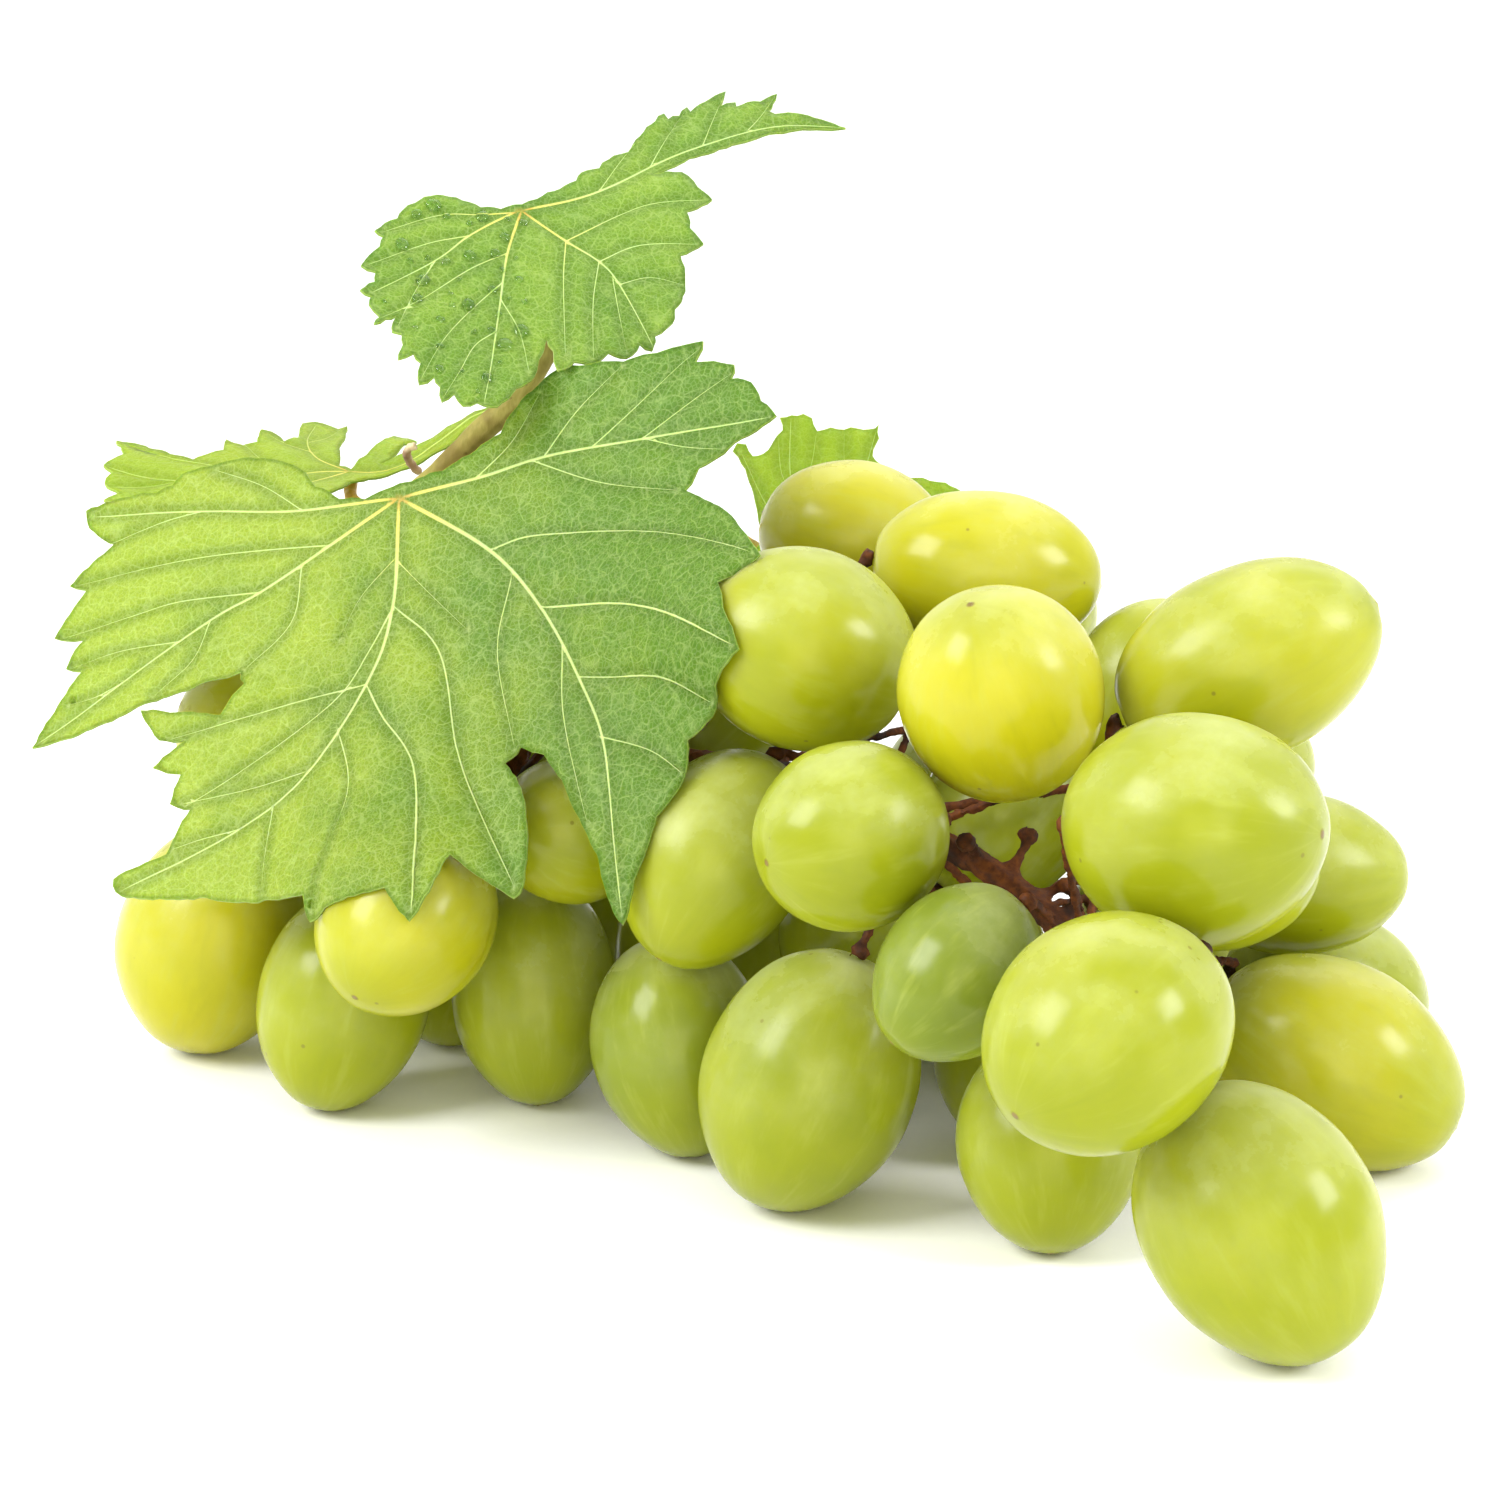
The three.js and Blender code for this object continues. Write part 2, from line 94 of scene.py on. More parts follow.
def pick(form, test):
    """In edit mode, selects the points of form that pass test and nothing else."""
    mesh = bmesh.from_edit_mesh(form.data)
    bpy.ops.mesh.select_all(action="DESELECT")
    for point in mesh.verts:
        if test(point.co):
            point.select_set(True)
    mesh.select_flush(True)
    bmesh.update_edit_mesh(form.data)


def apply_modifier(form, kind, **settings):
    hold(form)
    tool = form.modifiers.new(kind.lower(), kind)
    for key, value in settings.items():
        setattr(tool, key, value)
    bpy.ops.object.modifier_apply(modifier=tool.name)


def settle(form, name, slot, finish, *nodes):
    """Names a finished piece, gives it its finish and its place on the part."""
    form.name = form.data.name = name
    if finish is not None:
        form.data.materials.clear()
        form.data.materials.append(finish)
    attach(form, "root")
    if nodes:
        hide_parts(*nodes)
    return form


def copy_of(form):
    twin = form.copy()
    twin.data = form.data.copy()
    bpy.context.scene.collection.objects.link(twin)
    return twin


def cad_copy(node, name):
    """A merged copy of a CAD node, free of the frame."""
    twin = copy_of(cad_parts[node])
    twin.parent = None
    for key in list(twin.keys()):
        del twin[key]
    twin.name = name
    hold(twin)
    edit()
    bpy.ops.mesh.select_all(action="SELECT")
    bpy.ops.mesh.remove_doubles(threshold=0.01 * MM)
    edit(False)
    return twin


def cloud(name, size):
    """A soft cloud pattern for displacement, size in millimetres."""
    pattern = bpy.data.textures.new(name, "CLOUDS")
    pattern.noise_scale = size * MM
    pattern.noise_depth = 2
    return pattern


def give(form, name, values, kind="FLOAT"):
    """Stores one value per point on the mesh, for the materials to read."""
    slot = form.data.attributes.new(name, kind, "POINT")
    key = "vector" if kind == "FLOAT_VECTOR" else "value"
    slot.data.foreach_set(key, np.asarray(values, np.float32).ravel())


def points_of(form):
    co = np.empty(len(form.data.vertices) * 3)
    form.data.vertices.foreach_get("co", co)
    return co.reshape(-1, 3)


# ------------------------------------------------------------------ material helpers


class Finish:
    """A material in the making: nodes are added by kind, with their inputs by name."""

    def __init__(self, name):
        self.material = bpy.data.materials.new(name)
        self.material.use_nodes = True
        self.nodes = self.material.node_tree.nodes
        self.links = self.material.node_tree.links
        self.shader = self.nodes["Principled BSDF"]

    def add(self, kind, ins=None, **settings):
        node = self.nodes.new("ShaderNode" + kind)
        for key, value in settings.items():
            setattr(node, key, value)
        for key, value in (ins or {}).items():
            self.put(node.inputs[key], value)
        return node

    def put(self, socket, value):
        """Links a socket to an output, or sets it to a value."""
        if isinstance(value, bpy.types.NodeSocket):
            self.links.new(value, socket)
        else:
            socket.default_value = value

    def place(self):
        """Where a point is on the object."""
        return self.add("TexCoord").outputs["Object"]

    def own(self, name, kind="Fac"):
        """A value stored on the piece's own points."""
        return self.add("Attribute", attribute_name=name).outputs[kind]

    def noise(self, at, scale, detail=3.0, rough=0.55, **more):
        ins = {"Vector": at, "Scale": scale, "Detail": detail, "Roughness": rough}
        ins.update(more)
        return self.add("TexNoise", ins, noise_dimensions="4D" if "W" in more else "3D").outputs[0]

    def cells(self, at, scale, feature="F1", **more):
        return self.add("TexVoronoi", {"Vector": at, "Scale": scale, **more}, feature=feature)

    def span(self, value, low, high, to_low=0.0, to_high=1.0):
        """A soft step of value from low to high."""
        return self.add("MapRange", {"Value": value, "From Min": low, "From Max": high,
                                     "To Min": to_low, "To Max": to_high},
                        interpolation_type="SMOOTHSTEP").outputs[0]

    def sum(self, kind, a, b):
        """Two values put together by a Math operation."""
        return self.add("Math", {0: a, 1: b}, operation=kind).outputs[0]

    def mix(self, share, a, b):
        """A colour that share of the way from a to b."""
        node = self.add("Mix", data_type="RGBA")
        self.put(node.inputs[0], share)
        self.put(node.inputs[6], (*a, 1.0) if isinstance(a, tuple) else a)
        self.put(node.inputs[7], (*b, 1.0) if isinstance(b, tuple) else b)
        return node.outputs[2]

    def bump(self, height, strength, depth, under=None):
        ins = {"Height": height, "Strength": strength, "Distance": depth}
        if under is not None:
            ins["Normal"] = under
        return self.add("Bump", ins).outputs[0]

    def finish(self, **sockets):
        for key, value in sockets.items():
            self.put(self.shader.inputs[key.replace("_", " ")], value)
        return self.material


def grape_skin():
    """Waxy translucent skin: yellow-green flesh, faint veins pole to pole, bloom and freckles;
    painted sheen pales the upper sides, and warmer berries are also brighter, a painted glow of
    backlit ones.
    """
    f = Finish("waxy_green_grape_skin")
    place, form, warm_and_glow = f.place(), f.own("form", "Vector"), f.own("warmth_and_glow")
    broad = f.noise(place, 60.0, 2.0)
    cloudy = f.noise(place, 150.0, 2.0, 0.45)
    fine = f.noise(place, 900.0, 5.0, 0.65)
    # warmth also makes a berry brighter, so its highest values are a painted glow of backlit berries
    warmth_and_glow = f.sum("ADD", warm_and_glow, f.span(broad, 0.3, 0.7, -0.1, 0.1))
    flesh = f.mix(f.span(warmth_and_glow, 0.0, 0.55), (0.14, 0.185, 0.01), (0.25, 0.28, 0.005))
    flesh = f.mix(f.span(warmth_and_glow, 0.5, 1.05), flesh, (0.4, 0.375, 0.007))
    # veins that run from the stalk to the blossom scar
    apart = f.add("SeparateXYZ", {0: form})
    round_about = f.add("CombineXYZ", {0: apart.outputs[0], 1: apart.outputs[1]}).outputs[0]
    heading = f.add("VectorMath", {0: round_about}, operation="NORMALIZE").outputs[0]
    along = f.add("CombineXYZ", {2: f.sum("MULTIPLY", apart.outputs[2], 0.7)}).outputs[0]
    heading = f.add("VectorMath", {0: heading, 1: along}, operation="ADD").outputs[0]
    veins = f.noise(heading, 5.5, 3.0, 0.6, W=f.sum("MULTIPLY", warm_and_glow, 40.0))
    flesh = f.mix(f.span(veins, 0.5, 0.74, 0.0, 0.2), flesh, (0.4, 0.44, 0.09))
    flesh = f.mix(f.span(veins, 0.5, 0.25, 0.0, 0.16), flesh, (0.17, 0.21, 0.01))
    # both ends
    end = apart.outputs[2]
    away = f.add("VectorMath", {0: round_about}, operation="LENGTH").outputs[1]
    crown = f.span(end, -0.5, -0.36, 1.0, 0.0)
    flesh = f.mix(f.sum("MULTIPLY", crown, 0.4), flesh, (0.36, 0.38, 0.11))
    tip = f.span(end, 0.38, 0.5)
    flesh = f.mix(f.sum("MULTIPLY", tip, 0.35), flesh, (0.19, 0.22, 0.014))
    # bloom: thin mottled wax, made paler on upward-facing sides as a painted sheen
    bloom_and_painted_sheen = f.sum("MULTIPLY", f.span(f.own("up"), -0.4, 1.0), f.span(cloudy, 0.28, 0.78, 0.1, 1.0))
    bloom_and_painted_sheen = f.sum("MULTIPLY", bloom_and_painted_sheen, f.span(fine, 0.3, 0.75, 0.7, 1.0))
    skin = f.mix(f.sum("MULTIPLY", bloom_and_painted_sheen, 0.36), flesh, (0.58, 0.62, 0.36))
    # freckles and the blossom scar
    spots = f.cells(place, 330.0)
    chosen = f.add("SeparateColor", {0: spots.outputs["Color"]}).outputs[0]
    dots = f.sum("MULTIPLY", f.span(spots.outputs["Distance"], 0.1, 0.05),
                 f.sum("GREATER_THAN", chosen, 0.8))
    skin = f.mix(f.sum("MULTIPLY", dots, 0.7), skin, (0.15, 0.12, 0.02))
    scar = f.sum("MULTIPLY", f.span(away, 0.024, 0.01), f.sum("GREATER_THAN", end, 0.3))
    skin = f.mix(scar, skin, (0.16, 0.11, 0.03))
    rough = f.span(bloom_and_painted_sheen, 0.0, 0.9, 0.2, 0.39)
    relief = f.bump(fine, 0.1, 0.1 * MM)
    relief = f.bump(cloudy, 0.15, 0.3 * MM, relief)
    relief = f.bump(scar, 0.5, 0.2 * MM, relief)
    return f.finish(Base_Color=skin, Roughness=rough, Normal=relief, IOR=1.4,
                    Specular_IOR_Level=0.33,
                    Subsurface_Weight=1.0, Subsurface_Radius=(0.95, 1.0, 0.2),
                    Subsurface_Scale=6.0 * MM)


def blade_skin(name, top, low, high, rib_tint, gloss):
    """A vine blade, top or underside: ribs, a net of fine veins and quilted green between."""
    f = Finish(name)
    flat = f.add("UVMap", uv_map="flat").outputs[0]
    flat = f.add("Mapping", {"Vector": flat, "Scale": (100.0, 100.0, 100.0)}).outputs[0]
    rib, near, rim, reach = f.own("rib"), f.own("near"), f.own("rim"), f.own("reach")
    bend = f.noise(flat, 0.35, 2.0)
    bent = f.add("VectorMath", {0: flat, 1: f.add("CombineXYZ", {0: bend, 1: bend}).outputs[0]},
                 operation="ADD").outputs[0]
    patches = f.sum("ADD", f.noise(flat, 0.09, 3.0), f.own("pale"))
    grain = f.noise(flat, 2.6, 4.0, 0.6)
    green = f.mix(f.span(patches, 0.1, 0.9), low, high)
    specks = f.noise(flat, 5.5, 4.0, 0.7)
    green = f.mix(f.span(grain, 0.35, 0.7, 0.0, 0.22), green, tuple(c * 0.78 for c in low))
    green = f.mix(f.span(specks, 0.35, 0.7, 0.0, 0.3), green, tuple(c * 0.62 for c in low))
    # painted shade: darker green hugging the ribs, in the creases they sink into
    green = f.mix(f.span(near, 1.5, 0.35, 0.0, 0.4), green, tuple(c * 0.62 for c in low))
    # net of small veins
    net = f.cells(bent, 0.62, "DISTANCE_TO_EDGE", Randomness=0.9).outputs["Distance"]
    mesh = f.cells(bent, 2.1, "DISTANCE_TO_EDGE", Randomness=0.95).outputs["Distance"]
    lines = f.span(net, 0.07, 0.015)
    hairs = f.span(mesh, 0.14, 0.03)
    green = f.mix(f.sum("MULTIPLY", hairs, 0.1), green, rib_tint)
    green = f.mix(f.sum("MULTIPLY", lines, 0.1), green, rib_tint)
    # ribs, golden at the foot
    tint = f.mix(f.span(reach, 12.0, 2.0), rib_tint, (0.72, 0.62, 0.16))
    tint = f.mix(f.span(reach, 2.0, 0.6), tint, (0.66, 0.36, 0.08))
    strength = f.span(rib, 0.05, 0.7)
    green = f.mix(f.sum("MULTIPLY", strength, 0.75), green, tint)
    green = f.mix(f.span(rim, 0.5, 0.1, 0.0, 0.4), green, tuple(c * 0.55 for c in low))
    height = f.sum("ADD", f.sum("MULTIPLY", rib, 1.6 if top else 2.5),
                   f.sum("MULTIPLY", f.span(net, 0.0, 0.3), 0.8))
    height = f.sum("ADD", height, f.sum("MULTIPLY", f.span(mesh, 0.0, 0.35), 0.35))
    relief = f.bump(height, 0.55, 0.12 * MM)
    relief = f.bump(grain, 0.2, 0.08 * MM, relief)
    rough = f.span(grain, 0.3, 0.75, gloss, gloss + 0.16)
    return f.finish(Base_Color=green, Roughness=rough, Normal=relief, Specular_IOR_Level=0.18,
                    Subsurface_Weight=0.7, Subsurface_Radius=(0.6, 1.0, 0.12),
                    Subsurface_Scale=1.1 * MM)


def bark(name, light, mid, dark, scale, stretch, rough=0.62, soft=0.0):
    """Woody or fleshy stalk skin: fine fibres, darker patches and small pores."""
    f = Finish(name)
    place = f.place()
    drawn = f.add("Mapping", {"Vector": place, "Scale": stretch}).outputs[0]
    fibre = f.noise(drawn, scale * 3.0, 5.0, 0.65)
    patch = f.noise(place, scale * 0.45, 3.0)
    colour = f.mix(f.span(fibre, 0.32, 0.68), mid, light)
    colour = f.mix(f.span(patch, 0.42, 0.68, 0.0, 0.85), colour, dark)
    pores = f.cells(place, scale * 2.4)
    colour = f.mix(f.span(pores.outputs["Distance"], 0.16, 0.07, 0.0, 0.5), colour,
                   tuple(c * 0.45 for c in dark))
    relief = f.bump(fibre, 0.6, 0.25 * MM)
    relief = f.bump(patch, 0.5, 0.5 * MM, relief)
    roughness = f.span(fibre, 0.3, 0.7, rough - 0.1, rough + 0.12)
    return f.finish(Base_Color=colour, Roughness=roughness, Normal=relief,
                    Specular_IOR_Level=0.2, Subsurface_Weight=soft, Subsurface_Radius=(1.0, 0.6, 0.2),
                    Subsurface_Scale=0.8 * MM)


SKIN = grape_skin()
BLADE_TOP = blade_skin("vine_leaf_upper_side", True, (0.07, 0.15, 0.008), (0.24, 0.31, 0.02),
                       (0.52, 0.62, 0.26), 0.45)
FRESH_TOP = blade_skin("fresh_leaf_upper_side", True, (0.075, 0.165, 0.012),
                      (0.19, 0.28, 0.03), (0.52, 0.62, 0.26), 0.45)
BLADE_UNDER = blade_skin("vine_leaf_underside", False, (0.2, 0.28, 0.06), (0.28, 0.37, 0.09),
                         (0.46, 0.54, 0.2), 0.55)
YOUNG_TOP = blade_skin("young_leaf_upper_side", True, (0.2, 0.29, 0.01), (0.29, 0.36, 0.016),
                       (0.44, 0.53, 0.16), 0.45)
YOUNG_UNDER = blade_skin("young_leaf_underside", False, (0.27, 0.36, 0.06), (0.33, 0.41, 0.09),
                         (0.47, 0.55, 0.2), 0.55)
WOOD = bark("reddish_grape_stem", (0.17, 0.05, 0.01), (0.07, 0.018, 0.005),
            (0.01, 0.004, 0.003), 420.0, (1.0, 1.0, 1.0))
CANE_BARK = bark("tan_cane_bark", (0.38, 0.33, 0.09), (0.28, 0.25, 0.055), (0.17, 0.12, 0.03),
                 300.0, (1.6, 1.6, 0.5))
STALK_SKIN = bark("orange_leaf_stalk", (0.62, 0.4, 0.08), (0.48, 0.27, 0.05), (0.4, 0.36, 0.08),
                  260.0, (1.5, 1.5, 0.6), 0.45, 0.5)
DRY = bark("dry_tendril", (0.72, 0.6, 0.42), (0.55, 0.43, 0.27), (0.24, 0.12, 0.07),
           420.0, (1.0, 1.0, 1.0))

WATER = Finish("dew").finish(Base_Color=(0.85, 0.97, 0.75, 1.0), Roughness=0.03, IOR=1.33,
                             Transmission_Weight=1.0)

# ------------------------------------------------------------------ berries


def grape_form():
    """A berry a unit wide and a unit long, blossom end up, with both its ends shaped."""
    deselect()
    bpy.ops.mesh.primitive_uv_sphere_add(segments=36, ring_count=26, radius=0.5)
    berry = bpy.context.active_object
    heights = sorted({round(v.co.z, 5) for v in berry.data.vertices})
    edit()
    for height in heights:
        if height > 0.01:
            pick(berry, lambda co, h=height: abs(co.z - h) < 1e-4)
            slim = 1 - BERRY_TAPER * (2 * height) ** 2
            bpy.ops.transform.resize(value=(slim, slim, 1), center_override=(0, 0, height))
    # the hollow where the stalk goes in
    for rings, depth in ((0.49, 0.012), (0.4975, 0.012)):
        pick(berry, lambda co, r=rings: co.z < -r)
        bpy.ops.transform.translate(value=(0, 0, depth))
    # the blossom scar: a small pit with a raised point
    pick(berry, lambda co: co.z > 0.496)
    bpy.ops.transform.translate(value=(0, 0, -0.006))
    pick(berry, lambda co: co.z > 0.4935 and co.xy.length < 0.01)
    bpy.ops.transform.translate(value=(0, 0, 0.008))
    bpy.ops.mesh.select_all(action="SELECT")
    bpy.ops.mesh.normals_make_consistent(inside=False)
    edit(False)
    bpy.ops.object.shade_smooth()
    give(berry, "form", points_of(berry), "FLOAT_VECTOR")
    return berry


def measure(node):
    """Centre, axis towards the narrower blossom end, length and width of a CAD berry."""
    points = np.unique(np.round(points_of(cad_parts[node]), 6), axis=0)
    middle = points.mean(0)
    axis = np.linalg.svd(points - middle, full_matrices=False)[2][0]
    along = (points - middle) @ axis
    middle = middle + axis * (along.max() + along.min()) / 2
    along = (points - middle) @ axis
    across = np.linalg.norm((points - middle) - np.outer(along, axis), axis=1)
    length, width = along.max() - along.min(), 2 * across.max()
    fullness = across / np.sqrt(np.maximum(1e-9, 1 - (2 * along / length) ** 2))
    if fullness[along > 0.3 * length].mean() > fullness[along < -0.3 * length].mean():
        axis = -axis
    return Vector(middle), Vector(axis), length, width


def berries():
    """One modelled berry, copied to each place, turned, stretched and dented a little."""
    pattern = cloud("uneven_growth", 14)
    model, chance, stalk_ends = grape_form(), random.Random(7), []
    for number in range(1, BERRY_COUNT + 1):
        node = f"berry_{number:02d}"
        middle, axis, length, width = measure(node)
        berry = copy_of(model)
        spin = Matrix.Rotation(chance.uniform(0, math.tau), 4, "Z")
        turn = Vector((0, 0, 1)).rotation_difference(axis).to_matrix().to_4x4()
        size = Matrix.Diagonal((width, width, length, 1))
        berry.matrix_world = Matrix.Translation(middle) @ turn @ spin @ size
        hold(berry)
        bpy.ops.object.transform_apply(location=True, rotation=True, scale=True)
        apply_modifier(berry, "DISPLACE", texture=pattern, strength=0.9 * MM, mid_level=0.5,
                       texture_coords="LOCAL")
        # how much each point faces up, which lays the painted sheen on the upper sides
        give(berry, "up", [v.normal.z for v in berry.data.vertices])
        # warmth also sets how bright a berry is; the values for berries 9, 22 and 23 paint the glow
        # of backlit berries
        warm_and_glow = WARMTH_AND_PAINTED_GLOW.get(number, 0.5) + chance.uniform(-0.05, 0.05)
        give(berry, "warmth_and_glow", [warm_and_glow] * len(berry.data.vertices))
        berry.modifiers.new("round", "SUBSURF").levels = 1
        berry.modifiers["round"].render_levels = 1
        settle(berry, f"grape_{number:02d}", "berry", SKIN, node)
        stalk_ends.append((middle - axis * (length / 2 - 0.1 * MM), axis))
    bpy.data.objects.remove(model)
    return stalk_ends


# ------------------------------------------------------------------ stem


def stalk_cap():
    """The flared, ringed end of a stalk, foot on the berry at the origin, stalk side down."""
    deselect()
    bpy.ops.mesh.primitive_cylinder_add(vertices=14, radius=1.15 * MM, depth=0.5 * MM,
                                        location=(0, 0, -0.1 * MM))
    cap = bpy.context.active_object
    edit()
    pick(cap, lambda co: co.z < 0)
    bpy.ops.mesh.extrude_region_move(TRANSFORM_OT_translate={"value": (0, 0, -0.5 * MM)})
    bpy.ops.transform.resize(value=(1.15, 1.15, 1))
    bpy.ops.mesh.extrude_region_move(TRANSFORM_OT_translate={"value": (0, 0, -0.7 * MM)})
    bpy.ops.transform.resize(value=(0.62, 0.62, 1))
    bpy.ops.mesh.select_all(action="SELECT")
    bpy.ops.mesh.normals_make_consistent(inside=False)
    edit(False)
    return cap


# Where the empty stubs end, in millimetres, and the way each points.
STUB_TIPS = [((33.6, -12.1, 38.8), (0.1, 0.7, 0.7)), ((39.2, -13.1, 34.5), (0.8, 0.5, 0.3)),
             ((41.2, -13.9, 32.7), (0.8, 0.5, 0.2)), ((27.0, -18.1, 40.4), (0.1, -0.3, 1.0)),
             ((31.0, -19.8, 39.2), (0.3, -0.8, 0.6))]


def stem(stalk_ends):
    """The branched stem: the CAD stalks with a cap at each berry, grown together and gnarled."""
    body, cap = cad_copy("stem", "stem_wood"), stalk_cap()
    caps = []
    for place, axis in stalk_ends:
        one = copy_of(cap)
        turn = Vector((0, 0, 1)).rotation_difference(axis).to_matrix().to_4x4()
        one.matrix_world = Matrix.Translation(place) @ turn
        caps.append(one)
    for tip, way in STUB_TIPS:
        knob = copy_of(cap)
        turn = Vector((0, 0, 1)).rotation_difference(Vector(way)).to_matrix().to_4x4()
        knob.matrix_world = Matrix.Translation(Vector(tip) * MM) @ turn
        caps.append(knob)
    bpy.data.objects.remove(cap)
    hold(body, *caps)
    bpy.ops.object.join()
    hold(body)
    bpy.ops.object.transform_apply(location=True, rotation=True, scale=True)
    apply_modifier(body, "REMESH", mode="VOXEL", voxel_size=STEM_CELL * MM)
    apply_modifier(body, "SMOOTH", factor=0.5, iterations=3)
    apply_modifier(body, "DISPLACE", strength=-STEM_SHRINK * MM, mid_level=0)
    apply_modifier(body, "DISPLACE", texture=cloud("gnarls", 1.3), strength=0.7 * MM,
                   mid_level=0.5, texture_coords="LOCAL")
    bpy.ops.object.shade_smooth()
    return settle(body, "stem_wood", "stem", WOOD, "stem")


def woody(node, name, slot, finish, lumps, lump_size, cell=CANE_CELL):
    """A cane, leaf stalk or tendril from its CAD node, rounded and roughened."""
    piece = cad_copy(node, name)
    apply_modifier(piece, "REMESH", mode="VOXEL", voxel_size=cell * MM)
    apply_modifier(piece, "SMOOTH", factor=0.5, iterations=4)
    apply_modifier(piece, "DISPLACE", texture=cloud(name + "_lumps", lump_size),
                   strength=lumps * MM, mid_level=0.45, texture_coords="LOCAL")
    bpy.ops.object.shade_smooth()
    return settle(piece, name, slot, finish, node)


# ------------------------------------------------------------------ leaves
# A blade is drawn flat in millimetres around the end of its stalk: x to the right along a
# level line and y up the blade, as its CAD node faces. Ribs are [foot width, points].
LEVEL = Vector((0.788, 0.616, 0))

